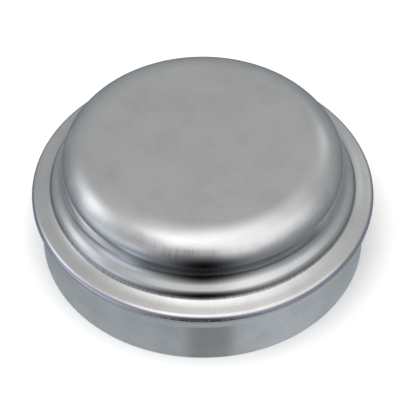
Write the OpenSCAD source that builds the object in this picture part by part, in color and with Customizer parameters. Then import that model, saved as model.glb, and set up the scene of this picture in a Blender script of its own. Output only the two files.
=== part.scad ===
// Hub grease cap: one cup deep-drawn from a single sheet of steel.
// The open rim lies on z = 0, the crown points up and the axis is Z. Millimetres.
// Every diameter and height is measured on the outer skin of the sheet.

/* [Sheet] */
// Thickness of the steel sheet
sheet_t = 0.9; // [0.5:0.05:1.1]

/* [Skirt] */
// Outer diameter of the skirt, which presses into the hub's bore
skirt_d = 62; // [48:0.5:90]
// Height from the open rim to the underside of the collar
skirt_h = 11.4; // [6:0.1:20]
// Edge break round the open rim, inside and outside
rim_break = 0.15; // [0.05:0.01:0.2]

/* [Folded collar] */
// How far the collar reaches out past the skirt
collar_reach = 1.55; // [1.4:0.05:2.4]
// Space left between the two plies where the sheet is folded back
fold_gap = 0.1; // [0.04:0.02:0.2]
// Radius over the top of the fold
fold_top_r = 1.2; // [1.15:0.05:1.6]
// Upright stretch of the fold's edge between its two radii
fold_flat = 0.1; // [0.05:0.05:0.5]
// Hollow radius where the collar turns down into the skirt
neck_r = 0.3; // [0.15:0.05:0.35]

/* [Flange] */
// Radial width from the crease at the step to the collar's edge
flange_w = 3.75; // [3.6:0.05:6]
// Radial width of the flatter outer band of the flange
flange_band_w = 2.5; // [2.3:0.1:2.7]
// Fall of the outer band towards the edge, in degrees
flange_fall = 13.2; // [9.2:0.2:18]
// Fall of the inner band beside the crease, in degrees
crease_fall = 25; // [19:0.5:30]
// Radius that blends the two bands
flange_blend_r = 6; // [3:0.5:8]

/* [Step and ledge] */
// Hollow radius of the crease at the foot of the step
crease_r = 1.05; // [0.3:0.05:1.3]
// Height of the step from the crease to the ledge's edge
step_h = 1.15; // [1:0.05:2]
// Lean of the step from upright, in degrees
step_lean = 13.5; // [8:0.5:25]
// Radius over the edge of the ledge
ledge_edge_r = 1.6; // [0.95:0.05:2]
// Radial width of the ledge between the step and the dome
ledge_w = 1.8; // [1.4:0.05:2.5]
// Fall of the ledge away from the dome, in degrees
ledge_fall = 44; // [34:0.5:50]
// Hollow radius at the foot of the dome
foot_r = 2.9; // [1:0.1:4]

/* [Dome] */
// Height of the whole cap from the open rim to the crown
cap_h = 25.75; // [21:0.25:40]
// Draft of the dome's wall, in degrees
wall_draft = 2.8; // [1:0.1:5]
// Lower radius of the shoulder, next to the wall
shoulder_r = 4; // [2:0.25:4.5]
// Upper radius of the shoulder, next to the crown
crown_r = 7.6; // [5:0.2:9]
// Straight stretch between the shoulder's two radii
shoulder_flat = 0.2; // [0.1:0.1:1]
// Slope of that stretch, in degrees
shoulder_slope = 46; // [35:1:50]
// Radius round which the flat middle of the crown turns down
crown_flat_r = 10; // [6:0.5:11]
// Fall of the crown outside its flat middle, in degrees
crown_fall = 1.5; // [0.5:0.1:2.5]
// Radius that blends the crown's flat middle into its fall
crown_blend_r = 145; // [100:5:200]

/* [Hidden] */

// Facets of a full turn, for the body and for the bends of its section
turn_facets = 240;
bend_facets = 360;
// How far a bend's circle is drawn past its tangents, so that it always crosses both runs
bend_lap = 0.0003;
// How far the sharp end of a bend's corner piece reaches past the sheet's own corner
corner_reach = sheet_t / 5;
// Least upright stretch of the dome's wall between the shoulder and the foot
least_wall_h = sheet_t / 4;

// Radii of the skirt, the collar's edge, the crease, the ledge's edge and the dome's foot
skirt_r = skirt_d / 2;
collar_r = skirt_r + collar_reach;
band_r = collar_r - flange_band_w;
crease_at_r = collar_r - flange_w;
ledge_r = crease_at_r - step_h * tan(step_lean);
foot_at_r = ledge_r - ledge_w;

// Outer radius under the fold: the sheet bent back on itself round the gap
fold_under_r = sheet_t + fold_gap / 2;

// Heights of the same places, from the collar's underside upwards
fold_h = fold_under_r + fold_flat + fold_top_r * tan((90 - flange_fall) / 2);
collar_top_z = skirt_h + fold_h;
band_z = collar_top_z + flange_band_w * tan(flange_fall);
crease_z = band_z + (flange_w - flange_band_w) * tan(crease_fall);
ledge_z = crease_z + step_h;
foot_z = ledge_z + ledge_w * tan(ledge_fall);

// How far the dome's bends reach from their corners when drawn at their full radii
full_shoulder_reach = shoulder_r * tan((90 - wall_draft - shoulder_slope) / 2);
full_foot_reach = foot_r * tan((90 - wall_draft - ledge_fall) / 2);
full_shoulder_run = crown_r * tan((shoulder_slope - crown_fall) / 2) + shoulder_flat + full_shoulder_reach;

// On a dome too low for them, the shoulder and the foot shrink to the share that its height has room for
dome_h = cap_h - (foot_at_r - crown_flat_r) * tan(crown_fall) - foot_z;
full_bends_h = full_shoulder_run * sin(shoulder_slope) + (full_shoulder_reach + full_foot_reach) * cos(wall_draft);
bend_share = min(1, (dome_h - least_wall_h) / full_bends_h);

// Straight line from the shoulder's upper corner to its lower one
shoulder_run = full_shoulder_run * bend_share;
shoulder_out = shoulder_run * cos(shoulder_slope);
shoulder_down = shoulder_run * sin(shoulder_slope);

// The shoulder's upper corner lies on the crown's fall, and its lower one on the wall
wall_gain = tan(wall_draft);
crown_gain = tan(crown_fall);
shoulder_at_r = (foot_at_r - shoulder_out
        - (cap_h - shoulder_down + crown_flat_r * crown_gain - foot_z) * wall_gain)
    / (1 - crown_gain * wall_gain);
shoulder_z = cap_h - (shoulder_at_r - crown_flat_r) * crown_gain;

// Corners of the outer skin from the middle of the crown to the open rim: radius, height and bend radius
skin = [
    [0, cap_h, 0],
    [crown_flat_r, cap_h, crown_blend_r],
    [shoulder_at_r, shoulder_z, crown_r * bend_share],
    [shoulder_at_r + shoulder_out, shoulder_z - shoulder_down, shoulder_r * bend_share],
    [foot_at_r, foot_z, foot_r * bend_share],
    [ledge_r, ledge_z, ledge_edge_r],
    [crease_at_r, crease_z, crease_r],
    [band_r, band_z, flange_blend_r],
    [collar_r, collar_top_z, fold_top_r],
    [collar_r, skirt_h, fold_under_r],
    [skirt_r, skirt_h, neck_r],
    [skirt_r, rim_break, 0]
];
last = len(skin) - 1;

// Place of corner i on the outer skin, and the unit vector at an angle
function corner(i) = [skin[i].x, skin[i].y];
function along(angle) = [cos(angle), sin(angle)];

// Angle of the run from corner i to the next, and the turn at corner i, which is positive in a hollow
function heading(i) = atan2(skin[i + 1].y - skin[i].y, skin[i + 1].x - skin[i].x);
function within_half_turn(angle) = angle > 180 ? angle - 360 : angle <= -180 ? angle + 360 : angle;
function turn(i) = i == 0 || i == last ? 0 : within_half_turn(heading(i) - heading(i - 1));

// Corner i on the inner face of the sheet, where the two runs set in by its thickness meet
function inner_corner(i) = corner(i)
    + sheet_t * (along(heading(min(i, last - 1)) - 90) - tan(turn(i) / 2) * along(heading(min(i, last - 1))));

// Radius of bend i on the outer skin and on the inner face
function skin_bend_r(i) = skin[i].z;
function inner_bend_r(i) = skin[i].z + sign(turn(i)) * sheet_t;

// What lies between the sharp corner of bend i and its arc, with the sharp end drawn out past the sheet
module bend_corner(i, sharp, r) {
    side = sign(turn(i));
    setback = r * tan(abs(turn(i)) / 2);
    start = sharp - setback * along(heading(i - 1));
    end = sharp + setback * along(heading(i));
    centre = start + side * r * along(heading(i - 1) + 90);
    tip = sharp + corner_reach * (sharp - centre) / norm(sharp - centre);
    difference() {
        polygon(side > 0 ? [start, tip, end] : [end, tip, start]);
        translate(centre)
            circle(r = r + bend_lap, $fn = bend_facets);
    }
}

// Sheet with sharp corners, and with both edges broken where it was sheared at the open rim
module sharp_sheet() {
    polygon(concat(
        [for (i = [0 : last]) inner_corner(i)],
        [[skirt_r - sheet_t + rim_break, 0], [skirt_r - rim_break, 0]],
        [for (i = [last : -1 : 0]) corner(i)]
    ));
}

// Section of the pressed sheet on one side of the axis, with its bends filled in the hollows and rounded off outside
module section() {
    difference() {
        union() {
            sharp_sheet();
            for (i = [1 : last - 1])
                if (turn(i) > 0) bend_corner(i, corner(i), skin_bend_r(i));
                else bend_corner(i, inner_corner(i), inner_bend_r(i));
        }
        for (i = [1 : last - 1])
            if (turn(i) > 0) bend_corner(i, inner_corner(i), inner_bend_r(i));
            else bend_corner(i, corner(i), skin_bend_r(i));
    }
}

module grease_cap() {
    color([0.72, 0.73, 0.74])
        rotate_extrude($fn = turn_facets)
            section();
}

grease_cap();
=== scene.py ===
"""Hub grease cap: a pressed cap of zinc-plated sheet steel with a folded collar, under soft studio light.

The file is laid out as an add-on and run as a script. Lengths are in metres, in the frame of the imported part.
"""

import math
from types import SimpleNamespace
from typing import NamedTuple

import bpy
import numpy as np
from bpy.props import FloatProperty, FloatVectorProperty, IntProperty, PointerProperty
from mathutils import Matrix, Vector


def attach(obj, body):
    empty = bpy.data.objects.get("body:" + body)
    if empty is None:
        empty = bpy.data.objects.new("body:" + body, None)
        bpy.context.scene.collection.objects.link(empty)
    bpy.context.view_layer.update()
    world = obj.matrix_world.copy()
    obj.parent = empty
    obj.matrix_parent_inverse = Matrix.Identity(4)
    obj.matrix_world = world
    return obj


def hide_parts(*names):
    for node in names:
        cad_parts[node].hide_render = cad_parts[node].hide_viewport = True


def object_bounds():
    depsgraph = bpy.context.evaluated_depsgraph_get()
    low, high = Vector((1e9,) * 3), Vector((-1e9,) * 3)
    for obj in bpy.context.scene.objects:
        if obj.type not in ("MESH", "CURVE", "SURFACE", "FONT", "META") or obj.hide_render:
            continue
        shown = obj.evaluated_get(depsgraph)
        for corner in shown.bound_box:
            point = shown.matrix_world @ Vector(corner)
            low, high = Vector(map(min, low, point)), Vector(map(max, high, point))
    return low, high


bl_info = {
    "name": "Hub Grease Cap",
    "version": (1, 0, 0),
    "blender": (4, 5, 0),
    "location": "3D View > Sidebar > Grease Cap",
    "description": "Spins a pressed grease cap from its section and lights it in a studio",
    "category": "Add Mesh",
}

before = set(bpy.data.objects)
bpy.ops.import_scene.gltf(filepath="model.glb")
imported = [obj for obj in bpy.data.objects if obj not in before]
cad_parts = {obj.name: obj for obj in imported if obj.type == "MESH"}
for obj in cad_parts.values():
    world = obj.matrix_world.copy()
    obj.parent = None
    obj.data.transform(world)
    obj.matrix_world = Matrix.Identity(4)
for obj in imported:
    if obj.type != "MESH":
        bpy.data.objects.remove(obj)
PACKED_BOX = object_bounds()
CAP_NODE = "grease_cap"
MM = 0.001
DEGREE = math.radians(1.0)


# Sizes, finishes and studio settings


def length(name, description, millimetres):
    """A length property whose default is given in millimetres."""
    return FloatProperty(
        name=name, description=description, default=millimetres * MM, min=0.0, unit="LENGTH", precision=5
    )


def slope(name, description, degrees):
    """An angle property whose default is given in degrees."""
    return FloatProperty(
        name=name, description=description, default=math.radians(degrees), unit="ROTATION", subtype="ANGLE"
    )


def share(name, description, value, top=1.0):
    """A plain number between nought and top."""
    return FloatProperty(name=name, description=description, default=value, min=0.0, max=top)


def tint(name, description, value):
    """A colour property."""
    return FloatVectorProperty(
        name=name, description=description, default=value, subtype="COLOR", min=0.0, max=1.0
    )


class CapSizes(bpy.types.PropertyGroup):
    """Sizes of the cap's section, measured on the outer skin of the sheet."""

    height: length("Height", "Height from the open rim to the crown", PACKED_BOX[1].z / MM)
    collar_radius: length("Collar radius", "Radius of the collar's edge", PACKED_BOX[1].x / MM)
    sheet: length("Sheet", "Thickness of the steel sheet", 0.9)
    collar_reach: length("Collar reach", "How far the collar stands out past the skirt", 1.55)
    skirt_height: length("Skirt height", "Height from the open rim to the collar's underside", 11.4)
    rim_break: length("Rim break", "Edge break round the open rim", 0.15)
    fold_gap: length("Fold gap", "Space between the two plies of the collar", 0.1)
    fold_top: length("Fold radius", "Radius over the top of the fold", 1.2)
    fold_flat: length("Fold flat", "Upright stretch of the fold's edge", 0.1)
    neck: length("Neck radius", "Hollow radius where the collar meets the skirt", 0.3)
    flare: length("Flare", "How far the skirt opens out towards the collar", 0.09)
    flare_height: length("Flare height", "How far below the collar the skirt starts to open out", 2.4)
    flare_bend: length("Flare bend", "Radius at the start of the flare", 12.0)
    flange: length("Flange width", "Width of the flange from the crease to the collar's edge", 3.75)
    band: length("Band width", "Width of the flange's outer band", 2.5)
    band_fall: slope("Band fall", "Fall of the flange's outer band", 13.2)
    crease_fall: slope("Crease fall", "Fall of the flange's inner band", 25.0)
    band_blend: length("Band blend", "Radius between the flange's two bands", 6.0)
    crease: length("Crease radius", "Hollow radius at the foot of the step", 1.05)
    step: length("Step height", "Height of the step", 1.15)
    step_lean: slope("Step lean", "Lean of the step from upright", 13.5)
    ledge_edge: length("Ledge edge radius", "Radius over the ledge's edge", 1.6)
    ledge: length("Ledge width", "Width of the sloping ledge", 1.8)
    ledge_fall: slope("Ledge fall", "Fall of the ledge", 44.0)
    foot: length("Foot radius", "Hollow radius at the foot of the dome", 2.9)
    draft: slope("Wall draft", "Draft of the dome's wall", 2.8)
    shoulder: length("Shoulder radius", "Lower radius of the shoulder", 4.0)
    shoulder_flat: length("Shoulder flat", "Straight stretch between the shoulder's two radii", 0.2)
    shoulder_slope: slope("Shoulder slope", "Slope of that stretch", 46.0)
    crown_edge: length("Crown edge radius", "Upper radius of the shoulder", 7.6)
    crown_flat: length("Crown flat", "Radius of the crown's flat middle", 10.0)
    crown_fall: slope("Crown fall", "Fall of the crown outside its flat middle", 1.5)
    crown_blend: length("Crown blend", "Radius between the crown's middle and its fall", 145.0)
    segments: IntProperty(name="Segments", description="Steps round the axis", default=324, min=24, max=720)


class CapFinish(bpy.types.PropertyGroup):
    """Colour and surface of the zinc plate."""

    zinc: tint("Zinc", "Colour of the zinc plate", (0.815, 0.815, 0.81))
    shaded: share("Shaded plate", "Brightness of the plate where the mottle is darkest", 0.86)
    rubbed: tint("Rubbed plate", "Colour of the plate where the die rubbed it", (0.42, 0.37, 0.40))
    # The violet cast is partly the plate's own tint and partly painted shade, which darkens the fold just below
    # its highlight
    violet_shade: tint("Tarnish", "Violet cast of the plate round the collar's edge", (0.42, 0.38, 0.60))
    violet_shading: share("Tarnishing", "Strength of that cast", 0.75)
    # Dark colour that paints shade on the dome's wall and foot and a dark line along the crease
    darkness: tint("Grime", "Colour of the dirt in the creases", (0.10, 0.095, 0.09))
    roughness: share("Roughness", "Roughness of the clean plate", 0.12)
    mottle: share("Mottle", "Strength of the cloudy patches", 1.0)
    grain: share("Grain", "Depth of the fine grain", 0.12)
    streaks: share("Draw marks", "Depth of the marks that the die drew", 0.25)
    rubbing: share("Rubbing", "Strength of the rubbed patches below the shoulder", 0.8)
    # Strength of the painted shade on the dome's wall and foot
    hollow_shade: share("Hollow grime", "Strength of the dirt on the dome's wall and foot", 0.6)
    # Strength of the dark line painted along the crease
    crease_line: share("Crease grime", "Strength of the dirt in the crease", 0.7)


class StudioSetup(bpy.types.PropertyGroup):
    """Camera, floor and light of the studio."""

    elevation: slope("Elevation", "Camera's height above the horizon", 47.8)
    distance: length("Distance", "Camera's distance from the point it looks at", 400.0)
    target_height: length("Target height", "Height of the point that the camera looks at", 9.25)
    focal: FloatProperty(
        name="Focal length", description="Focal length of the lens", default=187.5, min=1.0, unit="CAMERA"
    )
    sensor: FloatProperty(
        name="Sensor", description="Width of the camera's sensor", default=36.0, min=1.0, unit="CAMERA"
    )
    shift_across: FloatProperty(
        name="Shift across", description="Sideways shift, in view widths", default=-0.00675, precision=5
    )
    shift_up: FloatProperty(
        name="Shift up", description="Upward shift, in view widths", default=0.00125, precision=5
    )
    floor: tint("Floor", "Colour of the floor", (0.86, 0.86, 0.86))
    floor_roughness: share("Floor roughness", "Roughness of the floor's paint", 0.8)
    floor_gloss: share("Floor gloss", "Specular level of the floor's paint", 0.2)
    floor_reach: length("Floor reach", "How far the floor runs out from the axis on each side", 2000.0)
    backdrop: tint("Backdrop", "Colour that the camera sees behind the floor", (0.80, 0.80, 0.80))
    fill: share("Fill", "Strength of the soft light on the floor", 2.4, 20.0)
    fill_spread: slope("Fill spread", "Breadth of that light overhead", 70.0)
    fill_near: slope("Fill near", "Lean of that light towards the camera", 12.0)
    fill_right: slope("Fill right", "Lean of that light to the camera's right", -8.0)


# Shader graph

# Outputs of the texture coordinates node, and the light path node's for what the camera sees
GENERATED = 0
OBJECT = 3
CAMERA_RAY = 0
# Inputs of the mix node for its factor and colours
MIX_FACTOR = 0
MIX_FIRST = 6
MIX_SECOND = 7


class Wire:
    """A node's output, on which Python arithmetic adds Math nodes."""

    def __init__(self, graph, socket):
        self.graph = graph
        self.socket = socket

    def __add__(self, other):
        return self.graph.maths("ADD", self, other)

    def __sub__(self, other):
        return self.graph.maths("SUBTRACT", self, other)

    def __rsub__(self, other):
        return self.graph.maths("SUBTRACT", other, self)

    def __mul__(self, other):
        return self.graph.maths("MULTIPLY", self, other)

    def __truediv__(self, other):
        return self.graph.maths("DIVIDE", self, other)

    def __rtruediv__(self, other):
        return self.graph.maths("DIVIDE", other, self)

    __radd__ = __add__
    __rmul__ = __mul__


class Graph:
    """The node tree of a material or world, emptied and built up again."""

    def __init__(self, owner):
        owner.use_nodes = True
        self.tree = owner.node_tree
        self.tree.nodes.clear()

    def node(self, kind, settings, inputs):
        """Adds a node, sets it, then gives its sockets values or links. Returns its outputs as wires."""
        made = self.tree.nodes.new(kind)
        for name, value in settings.items():
            setattr(made, name, value)
        for key, value in inputs.items():
            if isinstance(value, Wire):
                self.tree.links.new(value.socket, made.inputs[key])
            else:
                made.inputs[key].default_value = value
        return [Wire(self, socket) for socket in made.outputs if socket.enabled]

    def maths(self, operation, *values):
        """One Math node over wires and numbers."""
        return self.node("ShaderNodeMath", {"operation": operation}, dict(enumerate(values)))[0]

    def vector_maths(self, operation, inputs):
        """One Vector Math node over vectors or colours."""
        return self.node("ShaderNodeVectorMath", {"operation": operation}, inputs)[0]

    def scaled(self, vector, factor):
        """A vector or colour times a number."""
        return self.vector_maths("SCALE", {0: vector, "Scale": factor})

    def plus(self, first, second):
        """The sum of two vectors or colours."""
        return self.vector_maths("ADD", {0: first, 1: second})

    def vector(self, x, y, z):
        """A vector from its three numbers."""
        return self.node("ShaderNodeCombineXYZ", {}, {"X": x, "Y": y, "Z": z})[0]

    def mix(self, factor, first, second):
        """The first colour where the factor is nought and the second where it is one."""
        inputs = {MIX_FACTOR: factor, MIX_FIRST: first, MIX_SECOND: second}
        return self.node("ShaderNodeMix", {"data_type": "RGBA"}, inputs)[0]

    def noise(self, vector, scale, detail, roughness):
        """Noise between nought and one over a vector."""
        inputs = {"Vector": vector, "Scale": scale, "Detail": detail, "Roughness": roughness}
        return self.node("ShaderNodeTexNoise", {"noise_dimensions": "3D"}, inputs)[0]

    def ramp(self, value, start, end, first, last):
        """A smooth change from the first to the last number as the value goes from start to end."""
        inputs = {"Value": value, "From Min": start, "From Max": end, "To Min": first, "To Max": last}
        return self.node("ShaderNodeMapRange", {"interpolation_type": "SMOOTHSTEP"}, inputs)[0]

    def band(self, value, place, unit, datum=0.0):
        """One along a place, which is given by its start, end and softness in a unit from a datum."""
        start, end, soft = (number * unit for number in place)
        rise = self.ramp(value, datum + start - soft, datum + start, 0.0, 1.0)
        fall = self.ramp(value, datum + end, datum + end + soft, 1.0, 0.0)
        return rise * fall

    def below(self, value, edge, soft):
        """One well below an edge and nought well above it."""
        return 1.0 / (1.0 + self.maths("EXPONENT", (value - edge) / soft))

    def above(self, value, level, gain):
        """How far a value is above a level, times a gain, and nought where it is below."""
        return self.maths("MAXIMUM", (value - level) * gain, 0.0)


# Section of the sheet


class Fineness(NamedTuple):
    """How finely a path is divided."""

    step: float  # longest step along a straight run
    swing: float  # largest turn from one point to the next round a bend
    hug: float  # distance of a further point from either end of a run, which keeps its shading flat


OUTER_FINENESS = Fineness(2.0 * MM, math.radians(3.5), 0.04 * MM)
INNER_FINENESS = Fineness(4.0 * MM, math.radians(9.0), 0.04 * MM)
RIM_FINENESS = Fineness(0.3 * MM, math.radians(7.0), 0.02 * MM)
# How many times its hug a run has to measure to take the two further points
HUG_ROOM = 4
# Points closer together than this are one point
SAME_POINT = 0.001 * MM


def along(angle):
    """Unit step at an angle."""
    return np.array([math.cos(angle), math.sin(angle)])


def skin_corners(sizes):
    """Corners of the outer skin from the axis to the open rim, each with its bend radius."""
    skirt_radius = sizes.collar_radius - sizes.collar_reach
    crease_radius = sizes.collar_radius - sizes.flange
    ledge_radius = crease_radius - sizes.step * math.tan(sizes.step_lean)
    foot_radius = ledge_radius - sizes.ledge
    fold_under = sizes.sheet + sizes.fold_gap / 2
    fold_reach = sizes.fold_top * math.tan((math.pi / 2 - sizes.band_fall) / 2)
    collar_top = sizes.skirt_height + fold_under + sizes.fold_flat + fold_reach
    band_z = collar_top + sizes.band * math.tan(sizes.band_fall)
    crease_z = band_z + (sizes.flange - sizes.band) * math.tan(sizes.crease_fall)
    ledge_z = crease_z + sizes.step
    foot_z = ledge_z + sizes.ledge * math.tan(sizes.ledge_fall)
    run = (
        sizes.crown_edge * math.tan((sizes.shoulder_slope - sizes.crown_fall) / 2)
        + sizes.shoulder_flat
        + sizes.shoulder * math.tan((math.pi / 2 - sizes.draft - sizes.shoulder_slope) / 2)
    )
    out = run * math.cos(sizes.shoulder_slope)
    down = run * math.sin(sizes.shoulder_slope)
    wall_gain = math.tan(sizes.draft)
    crown_gain = math.tan(sizes.crown_fall)
    wall_rise = sizes.height - down + sizes.crown_flat * crown_gain - foot_z
    shoulder_radius = (foot_radius - out - wall_rise * wall_gain) / (1 - crown_gain * wall_gain)
    shoulder_z = sizes.height - (shoulder_radius - sizes.crown_flat) * crown_gain
    return [
        (0.0, sizes.height, 0.0),
        (sizes.crown_flat, sizes.height, sizes.crown_blend),
        (shoulder_radius, shoulder_z, sizes.crown_edge),
        (shoulder_radius + out, shoulder_z - down, sizes.shoulder),
        (foot_radius, foot_z, sizes.foot),
        (ledge_radius, ledge_z, sizes.ledge_edge),
        (crease_radius, crease_z, sizes.crease),
        (sizes.collar_radius - sizes.band, band_z, sizes.band_blend),
        (sizes.collar_radius, collar_top, sizes.fold_top),
        (sizes.collar_radius, sizes.skirt_height, fold_under),
        (skirt_radius + sizes.flare, sizes.skirt_height, sizes.neck),
        (skirt_radius, sizes.skirt_height - sizes.flare_height, sizes.flare_bend),
        (skirt_radius, sizes.rim_break, 0.0),
    ]


def headings(corners):
    """Angle of the run from each corner to the next."""
    return [math.atan2(b[1] - a[1], b[0] - a[0]) for a, b in zip(corners, corners[1:])]


def turns(heading):
    """Turn at each corner, nought at both ends and positive in a hollow."""
    bends = [(b - a + math.pi) % (2 * math.pi) - math.pi for a, b in zip(heading, heading[1:])]
    return [0.0] + bends + [0.0]


def inner_corners(corners, sheet):
    """The same corners on the inner face of the sheet."""
    heading = headings(corners)
    inner = []
    for i, (corner, turn) in enumerate(zip(corners, turns(heading))):
        run = heading[min(i, len(heading) - 1)]
        place = np.array(corner[:2]) + sheet * (along(run - math.pi / 2) - math.tan(turn / 2) * along(run))
        inner.append((place[0], place[1], corner[2] + math.copysign(sheet, turn) if turn else 0.0))
    return inner


def spread(start, end, fineness):
    """Points on a straight run, with one close to either end."""
    reach = np.linalg.norm(end - start)
    count = max(1, math.ceil(reach / fineness.step))
    parts = {0.0, 1.0} | {k / count for k in range(1, count)}
    if reach > HUG_ROOM * fineness.hug:
        parts |= {fineness.hug / reach, 1 - fineness.hug / reach}
    return [start + (end - start) * part for part in sorted(parts)]


def rounded(corners, fineness):
    """The path along the corners with their bends rounded."""
    heading = headings(corners)
    turn = turns(heading)
    setback = [corner[2] * math.tan(abs(t) / 2) for corner, t in zip(corners, turn)]
    path = []
    for i, run in enumerate(heading):
        start = np.array(corners[i][:2]) + setback[i] * along(run)
        end = np.array(corners[i + 1][:2]) - setback[i + 1] * along(run)
        path += spread(start, end, fineness)
        bend = turn[i + 1]
        if not bend:
            continue
        lever = math.copysign(corners[i + 1][2], bend)
        centre = end + lever * along(run + math.pi / 2)
        count = max(2, math.ceil(abs(bend) / fineness.swing))
        path += [centre - lever * along(run + bend * k / count + math.pi / 2) for k in range(1, count)]
    return path


def cap_section(sizes):
    """Closed section of the sheet: down the outer skin, round the sheared rim and back up the inner face."""
    skin = skin_corners(sizes)
    outside = skin[-1][0]
    inside = outside - sizes.sheet
    edge = [
        (outside, sizes.rim_break, 0),
        (outside - sizes.rim_break, 0, 0),
        (inside + sizes.rim_break, 0, 0),
        (inside, sizes.rim_break, 0),
    ]
    outer = rounded(skin, OUTER_FINENESS)
    rim = rounded(edge, RIM_FINENESS)
    inner = rounded(inner_corners(skin, sizes.sheet), INNER_FINENESS)
    path = outer + rim + inner[::-1]
    kept = [path[0]]
    for point in path[1:]:
        if np.linalg.norm(point - kept[-1]) > SAME_POINT:
            kept.append(point)
    return np.array(kept)


def spun_mesh(name, section, segments):
    """Turns a section, whose two ends lie on the axis, into a closed mesh."""
    ring = np.linspace(0, 2 * math.pi, segments, endpoint=False)
    body = section[1:-1]
    count = len(body)
    places = np.empty((count, segments, 3))
    places[:, :, 0] = body[:, :1] * np.sin(ring)
    places[:, :, 1] = -body[:, :1] * np.cos(ring)
    places[:, :, 2] = body[:, 1:]
    top, under = (0, 0, section[0, 1]), (0, 0, section[-1, 1])
    points = np.vstack([places.reshape(-1, 3), [top, under]])
    this = np.arange(segments)
    following = (this + 1) % segments
    faces = []
    for row in range(count - 1):
        upper, lower = row * segments, (row + 1) * segments
        faces += np.stack([upper + this, lower + this, lower + following, upper + following], 1).tolist()
    last = (count - 1) * segments
    faces += [(count * segments, int(a), int(b)) for a, b in zip(this, following)]
    faces += [(count * segments + 1, int(last + b), int(last + a)) for a, b in zip(this, following)]
    mesh = bpy.data.meshes.new(name)
    mesh.from_pydata(points.tolist(), [], faces)
    mesh.validate()
    mesh.shade_smooth()
    return mesh


# Finishes

# Scale, detail and roughness of each noise, and the level that it keeps about
GRAIN_NOISE = (5200.0, 3.0, 0.6)
CLOUD_NOISE = (170.0, 4.0, 0.55)
MARKS_NOISE = (1.0, 3.0, 0.6)
NOISE_LEVEL = 0.5
# How close the die's marks lie round the cap, and how short they are down it
MARKS_ROUND = 150.0
MARKS_DOWN = 60.0
# Level from which a noise shows as patches or as scratches, and its gain there
PATCHES_FROM = (0.42, 3.0)
SCRATCHES_FROM = (0.42, 5.0)
# How softly the scratches level off at one
SCRATCHES_EASE = 0.1

# Places on the plate, each with its start, end and softness. These two are heights from the crown, in
# millimetres: the rubbed strip lies below the shoulder, and the spot lies above the strip and to its left
RUBBED_HEIGHT = (-3.65, -2.55, 0.6)
SPOT_HEIGHT = (-2.55, -1.75, 0.5)
# Heights above the collar's underside in millimetres
NICKS_HEIGHT = (1.24, 1.42, 0.05)
# The violet band tints the plate and paints shade on the fold just below its highlight
VIOLET_SHADE_HEIGHT = (1.64, 1.86, 0.07)
FLANGE_HEIGHT = (2.0, 3.1, 0.1)
# The crease height and reach place the dark line painted along the crease
CREASE_HEIGHT = (2.8, 3.9, 0.1)
# The foot and wall heights place the painted shade on the dome
FOOT_HEIGHT = (5.5, 6.8, 0.5)
WALL_HEIGHT = (6.9, 8.6, 0.6)
# Distances out from the collar's edge and from the crease in millimetres
EDGE_REACH = (-0.65, 0.45, 0.05)
CREASE_REACH = (-0.08, 0.22, 0.14)
# Turns round the axis in degrees, counted from the front to the right
FRONT_TURN = (-13.0, 3.0, 6.0)
SPOT_TURN = (-29.0, -20.0, 5.0)
# The wall and foot turns place the painted shade on the dome
WALL_TURN = (-22.0, 48.0, 12.0)
FOOT_TURN = (-59.0, -47.0, 9.0)

# What the rubbing is made of: patches, an even part at the front and in the spot, and the part of it that the
# scratches break up
RUBBING = SimpleNamespace(patches=0.6, front=0.8, spot=0.4, scratched=0.6)
# Painted shade on the dome's foot beside that on its wall, and the part of the dark line in the crease that is
# scratched
FOOT_SHADE = 0.5
CREASE_SCRATCHED = 0.4
# The plate's usual shade, and how far each noise and the marks on the flange change it
SHADE = SimpleNamespace(level=0.25, cloud=2.0, grain=1.6, flange=1.3)
# How far each noise and mark roughens it
ROUGHER = SimpleNamespace(grain=0.12, cloud=0.10, rubbed=0.15, hollow=0.05, nicks=0.6)
# Height of the grain's full range, and of the draw marks' full range as a multiple of it
GRAIN_HEIGHT = 0.04 * MM
DRAW_HEIGHT = 4.0


def opaque(colour, brightness=1.0):
    """A colour for a node's socket, made brighter or darker."""
    return (*(brightness * channel for channel in colour), 1.0)


def scratched(mask, scratches, part):
    """A mask of which the scratches break up a part."""
    return mask * (scratches * part + (1.0 - part))


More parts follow.
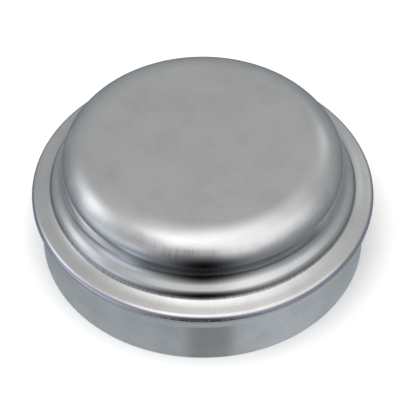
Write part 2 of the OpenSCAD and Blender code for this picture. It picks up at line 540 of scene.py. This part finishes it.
class PlateMarks:
    """Noises and masks over the cap's plate, most of them between nought and one."""

    def __init__(self, graph, sizes):
        place = graph.node("ShaderNodeTexCoord", {}, {})[OBJECT]
        x, y, z = graph.node("ShaderNodeSeparateXYZ", {}, {0: place})
        radius = graph.maths("SQRT", x * x + y * y)
        turned = graph.maths("ARCTAN2", x, 0.0 - y)
        drawn = graph.vector(x / radius * MARKS_ROUND, y / radius * MARKS_ROUND, z * MARKS_DOWN)
        self.grain = graph.noise(place, *GRAIN_NOISE)
        self.cloud = graph.noise(place, *CLOUD_NOISE)
        self.marks = graph.noise(drawn, *MARKS_NOISE)
        patches = graph.above(self.cloud, *PATCHES_FROM)
        scratches = graph.maths("SMOOTH_MIN", graph.above(self.marks, *SCRATCHES_FROM), 1.0, SCRATCHES_EASE)

        front = graph.band(turned, FRONT_TURN, DEGREE)
        strip = graph.band(z, RUBBED_HEIGHT, MM, sizes.height)
        spot = graph.band(z, SPOT_HEIGHT, MM, sizes.height) * graph.band(turned, SPOT_TURN, DEGREE)
        patches = patches * RUBBING.patches
        rubbed = strip * (patches + front * RUBBING.front) + spot * (patches + RUBBING.spot)
        self.rubbed = scratched(rubbed, scratches, RUBBING.scratched)

        underside = sizes.skirt_height
        edge = graph.band(radius, EDGE_REACH, MM, sizes.collar_radius)
        self.nicks = graph.band(z, NICKS_HEIGHT, MM, underside) * edge * scratches
        # Violet band: the plate's tint, and painted shade on the fold just below its highlight
        self.violet_shade = graph.band(z, VIOLET_SHADE_HEIGHT, MM, underside) * edge
        self.flange = graph.band(z, FLANGE_HEIGHT, MM, underside)
        # Dark line painted along the crease
        crease = graph.band(radius, CREASE_REACH, MM, sizes.collar_radius - sizes.flange)
        crease = crease * graph.band(z, CREASE_HEIGHT, MM, underside)
        self.crease = scratched(crease, scratches, CREASE_SCRATCHED)
        # Painted shade on the dome's wall and foot
        wall = graph.band(z, WALL_HEIGHT, MM, underside) * graph.band(turned, WALL_TURN, DEGREE)
        foot = graph.band(z, FOOT_HEIGHT, MM, underside) * graph.band(turned, FOOT_TURN, DEGREE)
        self.hollow = wall + foot * FOOT_SHADE


def zinc_plate(finish, sizes):
    """Satin zinc on pressed steel, mottled, drawn, rubbed and nicked, with painted shade on the dome's wall and
    foot and in a violet band, and a painted dark line in the crease.
    """
    material = bpy.data.materials.new("zinc_plate")
    graph = Graph(material)
    plate = PlateMarks(graph, sizes)
    grain = plate.grain - NOISE_LEVEL
    cloud = plate.cloud - NOISE_LEVEL
    marks = plate.marks - NOISE_LEVEL

    shade = cloud * (finish.mottle * SHADE.cloud) + grain * SHADE.grain + SHADE.level
    shade = shade + plate.flange * marks * SHADE.flange
    colour = graph.mix(shade, opaque(finish.zinc), opaque(finish.zinc, finish.shaded))
    colour = graph.mix(plate.rubbed * finish.rubbing, colour, opaque(finish.rubbed))
    # Violet tint, which also paints shade on the fold just below its highlight
    colour = graph.mix(plate.violet_shade * finish.violet_shading, colour, opaque(finish.violet_shade))
    # Painted shade on the dome's wall and foot, and a dark line painted along the crease
    darkening = plate.hollow * finish.hollow_shade + plate.crease * finish.crease_line
    colour = graph.mix(darkening, colour, opaque(finish.darkness))

    rough = finish.roughness + grain * ROUGHER.grain + cloud * ROUGHER.cloud + plate.rubbed * ROUGHER.rubbed
    rough = rough + plate.hollow * ROUGHER.hollow + plate.nicks * ROUGHER.nicks
    relief = plate.grain + plate.marks * (finish.streaks * DRAW_HEIGHT)
    bump = graph.node(
        "ShaderNodeBump", {}, {"Strength": finish.grain, "Distance": GRAIN_HEIGHT, "Height": relief}
    )[0]
    surface = graph.node(
        "ShaderNodeBsdfPrincipled",
        {"distribution": "MULTI_GGX"},
        {"Base Color": colour, "Metallic": 1.0, "Roughness": rough, "Normal": bump},
    )[0]
    graph.node("ShaderNodeOutputMaterial", {}, {"Surface": surface})
    return material


def plain_paint(name, colour, roughness, gloss):
    """An even matt surface for the studio floor."""
    material = bpy.data.materials.new(name)
    graph = Graph(material)
    surface = graph.node(
        "ShaderNodeBsdfPrincipled",
        {},
        {"Base Color": opaque(colour), "Roughness": roughness, "Specular IOR Level": gloss},
    )[0]
    graph.node("ShaderNodeOutputMaterial", {}, {"Surface": surface})
    return material


# Studio


class SoftLight(NamedTuple):
    """A round soft light. Angles are in degrees, and the azimuth is counted from the camera to the right."""

    azimuth: float
    elevation: float
    spread: float
    strength: float
    colour: tuple


SOFT_LIGHTS = [
    SoftLight(92.5, 77.7, 23.4, 0.42, (1.02, 1.0, 0.98)),
    SoftLight(-36.1, 66.8, 20.0, 0.59, (1.0, 1.0, 1.0)),
    SoftLight(17.1, 42.9, 33.9, 0.73, (1.01, 0.99, 1.0)),
    SoftLight(76.6, 39.8, 18.3, 0.34, (0.99, 1.0, 1.01)),
    SoftLight(142.8, 29.3, 11.5, 0.21, (1.0, 1.0, 1.0)),
    SoftLight(-97.2, 31.0, 16.0, 0.72, (0.95, 0.99, 1.06)),
    SoftLight(-75.0, -2.0, 24.0, 0.42, (0.90, 0.98, 1.12)),
    SoftLight(-54.1, -34.9, 8.8, 0.33, (0.90, 0.98, 1.12)),
    SoftLight(-48.0, 3.0, 12.0, 0.20, (0.88, 0.97, 1.15)),
    SoftLight(58.0, -62.0, 25.0, 0.11, (0.97, 1.0, 1.02)),
]
# The even light of the room, bluer below and warmer above: its colour at the horizon, and its gains with the
# height of the direction and with the square of that height
ROOM_COLOUR = 0.326 * Vector((0.95, 1.0, 1.05))
ROOM_GAIN = 0.179 * Vector((1.10, 1.0, 0.90))
ROOM_CURVE = -0.069 * Vector((1.0, 1.0, 1.0))
# The gap between the soft lights, where the camera stands, with its angles in degrees. Its shade fades out at
# its top, and its width changes by its growth from the horizon down to its growth_reach
CAMERA_GAP = SimpleNamespace(
    azimuth=0.4, width=25.0, growth=-3.1, growth_reach=45.0, top=41.3, soft=12.4, depth=0.862
)
# The deeper shade low down in that gap
LOW_SHADE = SimpleNamespace(top=-3.9, soft=6.0, depth=0.863)
# The pale floor as the skirt mirrors it, which lies below its top and has its own gain with height
FLOOR_GLOW = SimpleNamespace(top=-48.7, soft=0.73, light=0.712, gain=0.548, colour=(1.0, 1.01, 0.99))
# The camera's shade on that floor, which ends at its foot
FLOOR_SHADE = SimpleNamespace(azimuth=5.5, width=17.5, squareness=6.0, foot=-53.2, soft=0.4, depth=0.50)
# Nearest distance that the camera sees
CAMERA_NEAR = 10.0 * MM


def towards(azimuth, elevation):
    """Unit vector at an azimuth and elevation in degrees, with the camera's side at azimuth nought."""
    a, e = math.radians(azimuth), math.radians(elevation)
    return Vector((math.cos(e) * math.sin(a), -math.cos(e) * math.cos(a), math.sin(e)))


def room_light(graph, direction, height):
    """The even light of the room with the soft lights in it."""
    light = graph.plus(ROOM_COLOUR, graph.scaled(ROOM_GAIN, height))
    light = graph.plus(light, graph.scaled(ROOM_CURVE, height * height))
    for lamp in SOFT_LIGHTS:
        facing = graph.vector_maths("DOT_PRODUCT", {0: direction, 1: towards(lamp.azimuth, lamp.elevation)})
        sharpness = 1.0 / (1.0 - math.cos(math.radians(lamp.spread)))
        glow = graph.maths("EXPONENT", (facing - 1.0) * sharpness)
        light = graph.plus(light, graph.scaled(lamp.strength * Vector(lamp.colour), glow))
    return light


def gap_shade(graph, azimuth, elevation):
    """What the camera's gap leaves of the room's light."""
    sunk = graph.maths("MAXIMUM", 0.0 - elevation, 0.0)
    width = CAMERA_GAP.width + sunk * (CAMERA_GAP.growth / CAMERA_GAP.growth_reach)
    aside = (azimuth - CAMERA_GAP.azimuth) / width
    across = graph.maths("EXPONENT", 0.0 - aside * aside)
    upper = across * graph.below(elevation, CAMERA_GAP.top, CAMERA_GAP.soft) * CAMERA_GAP.depth
    lower = across * graph.below(elevation, LOW_SHADE.top, LOW_SHADE.soft) * LOW_SHADE.depth
    return (1.0 - upper) * (1.0 - lower)


def floor_shade(graph, azimuth, elevation, floor):
    """What the camera's shade leaves of the floor's light."""
    aside = graph.maths("ABSOLUTE", (azimuth - FLOOR_SHADE.azimuth) / FLOOR_SHADE.width)
    across = graph.maths("EXPONENT", 0.0 - graph.maths("POWER", aside, FLOOR_SHADE.squareness))
    far = 1.0 - graph.below(elevation, FLOOR_SHADE.foot, FLOOR_SHADE.soft)
    return 1.0 - across * floor * far * FLOOR_SHADE.depth


def studio_world(world, backdrop):
    """Light all round the cap as its polished skin sees it, and an even pale backdrop for the camera."""
    graph = Graph(world)
    direction = graph.node("ShaderNodeTexCoord", {}, {})[GENERATED]
    x, y, height = graph.node("ShaderNodeSeparateXYZ", {}, {0: direction})
    azimuth = graph.maths("ARCTAN2", x, 0.0 - y) / DEGREE
    elevation = graph.maths("ARCSINE", height) / DEGREE

    floor = graph.below(elevation, FLOOR_GLOW.top, FLOOR_GLOW.soft)
    gap = gap_shade(graph, azimuth, elevation)
    light = graph.scaled(room_light(graph, direction, height), gap + (1.0 - gap) * floor)
    glow = (height * FLOOR_GLOW.gain + FLOOR_GLOW.light) * floor
    light = graph.plus(light, graph.scaled(Vector(FLOOR_GLOW.colour), glow))
    light = graph.scaled(light, floor_shade(graph, azimuth, elevation, floor))

    seen = graph.node("ShaderNodeLightPath", {}, {})[CAMERA_RAY]
    colour = graph.mix(seen, light, opaque(backdrop))
    shine = graph.node("ShaderNodeBackground", {}, {"Color": colour, "Strength": 1.0})[0]
    graph.node("ShaderNodeOutputWorld", {}, {"Surface": shine})


def studio_floor(setup):
    """The pale floor. The cap's skin mirrors the world's floor glow in its place."""
    reach = setup.floor_reach
    corners = [(-reach, -reach, 0), (reach, -reach, 0), (reach, reach, 0), (-reach, reach, 0)]
    mesh = bpy.data.meshes.new("floor")
    mesh.from_pydata(corners, [], [(0, 1, 2, 3)])
    mesh.materials.append(plain_paint("floor_paint", setup.floor, setup.floor_roughness, setup.floor_gloss))
    floor = bpy.data.objects.new("floor", mesh)
    floor.visible_glossy = False
    return floor


def overhead_fill(setup):
    """The soft light on the floor, which the cap's skin doesn't mirror."""
    lamp = bpy.data.lights.new("overhead_fill", "SUN")
    lamp.energy = setup.fill
    lamp.angle = setup.fill_spread
    fill = bpy.data.objects.new("overhead_fill", lamp)
    fill.rotation_euler = (setup.fill_near, setup.fill_right, 0)
    fill.visible_glossy = False
    return fill


def studio_camera(setup):
    """The camera, in front of the cap and above it."""
    camera = bpy.data.objects.new("camera", bpy.data.cameras.new("camera"))
    target = Vector((0, 0, setup.target_height))
    back = Vector((0, -math.cos(setup.elevation), math.sin(setup.elevation)))
    camera.location = target + setup.distance * back
    camera.rotation_euler = (math.pi / 2 - setup.elevation, 0, 0)
    camera.data.sensor_width = setup.sensor
    camera.data.lens = setup.focal
    camera.data.shift_x = setup.shift_across
    camera.data.shift_y = setup.shift_up
    camera.data.clip_start = CAMERA_NEAR
    return camera


class CAP_OT_pressed_cap(bpy.types.Operator):
    """Spin the cap's section into a closed shell of sheet and plate it with zinc"""

    bl_idname = "cap.pressed_cap"
    bl_label = "Pressed cap"

    def execute(self, context):
        sizes = context.scene.cap_sizes
        mesh = spun_mesh("pressed_cap", cap_section(sizes), sizes.segments)
        cap = bpy.data.objects.new("pressed_cap", mesh)
        context.scene.collection.objects.link(cap)
        mesh.materials.append(zinc_plate(context.scene.cap_finish, sizes))
        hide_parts(CAP_NODE)
        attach(cap, "root")
        return {"FINISHED"}


class CAP_OT_studio(bpy.types.Operator):
    """Lay the pale floor, hang the soft lights and set up the camera"""

    bl_idname = "cap.studio"
    bl_label = "Studio"

    def execute(self, context):
        scene = context.scene
        setup = scene.cap_studio
        scene.view_settings.view_transform = "Standard"
        scene.world = bpy.data.worlds.new("studio")
        studio_world(scene.world, setup.backdrop)
        floor = studio_floor(setup)
        camera = studio_camera(setup)
        for item in (floor, overhead_fill(setup), camera):
            scene.collection.objects.link(item)
        scene.camera = camera
        return {"FINISHED"}


class CAP_PT_sidebar(bpy.types.Panel):
    """The cap's pieces, sizes and finish"""

    bl_idname = "CAP_PT_sidebar"
    bl_label = "Grease Cap"
    bl_space_type = "VIEW_3D"
    bl_region_type = "UI"
    bl_category = "Grease Cap"

    def draw(self, context):
        scene = context.scene
        for operator in OPERATORS:
            self.layout.operator(operator.bl_idname)
        for settings in (scene.cap_sizes, scene.cap_finish, scene.cap_studio):
            box = self.layout.box()
            for name in settings.__annotations__:
                box.prop(settings, name)


OPERATORS = (CAP_OT_studio, CAP_OT_pressed_cap)
CLASSES = (CapSizes, CapFinish, StudioSetup, *OPERATORS, CAP_PT_sidebar)


def register():
    for cls in CLASSES:
        bpy.utils.register_class(cls)
    bpy.types.Scene.cap_sizes = PointerProperty(type=CapSizes)
    bpy.types.Scene.cap_finish = PointerProperty(type=CapFinish)
    bpy.types.Scene.cap_studio = PointerProperty(type=StudioSetup)


def unregister():
    del bpy.types.Scene.cap_studio
    del bpy.types.Scene.cap_finish
    del bpy.types.Scene.cap_sizes
    for cls in reversed(CLASSES):
        bpy.utils.unregister_class(cls)


def main():
    """Makes the studio and the cap."""
    register()
    bpy.ops.cap.studio()
    bpy.ops.cap.pressed_cap()


if __name__ == "__main__":
    main()
